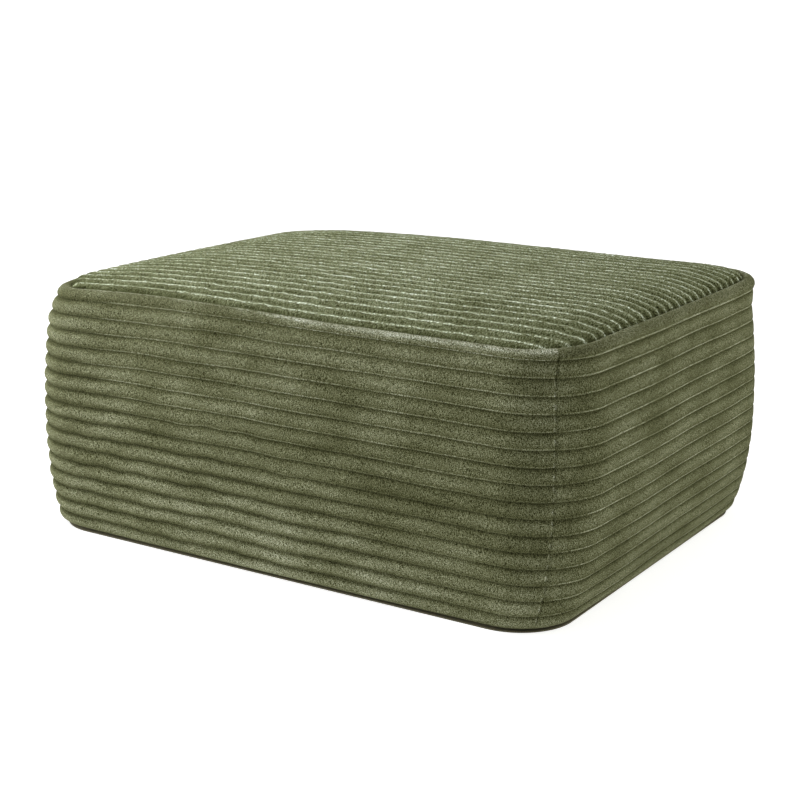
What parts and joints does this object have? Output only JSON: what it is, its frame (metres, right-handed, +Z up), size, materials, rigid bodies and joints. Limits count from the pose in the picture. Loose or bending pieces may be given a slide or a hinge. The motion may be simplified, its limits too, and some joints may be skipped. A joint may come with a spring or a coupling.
{
  "type": "upholstered footstool",
  "caption": "Low rectangular footstool in ribbed corduroy, with a softly crowned top panel, rounded corners and a flat underside.",
  "frame": {"origin": "middle of the underside, where the stool rests on the floor", "axes": "+X along the long side, +Y along the short side, +Z up; the near long side faces -Y"},
  "size_m": [0.9, 0.7036, 0.3812],
  "materials": {
    "corduroy_top": "wide-wale olive corduroy, wales along the long side",
    "corduroy_band": "wide-wale olive corduroy, wales level round the stool",
    "base_cloth": "matte dark woven cloth"
  },
  "bodies": {
    "root": {"top_panel": "corduroy_top", "side_band": "corduroy_band", "base_cloth": "base_cloth"}
  },
  "joints": []
}
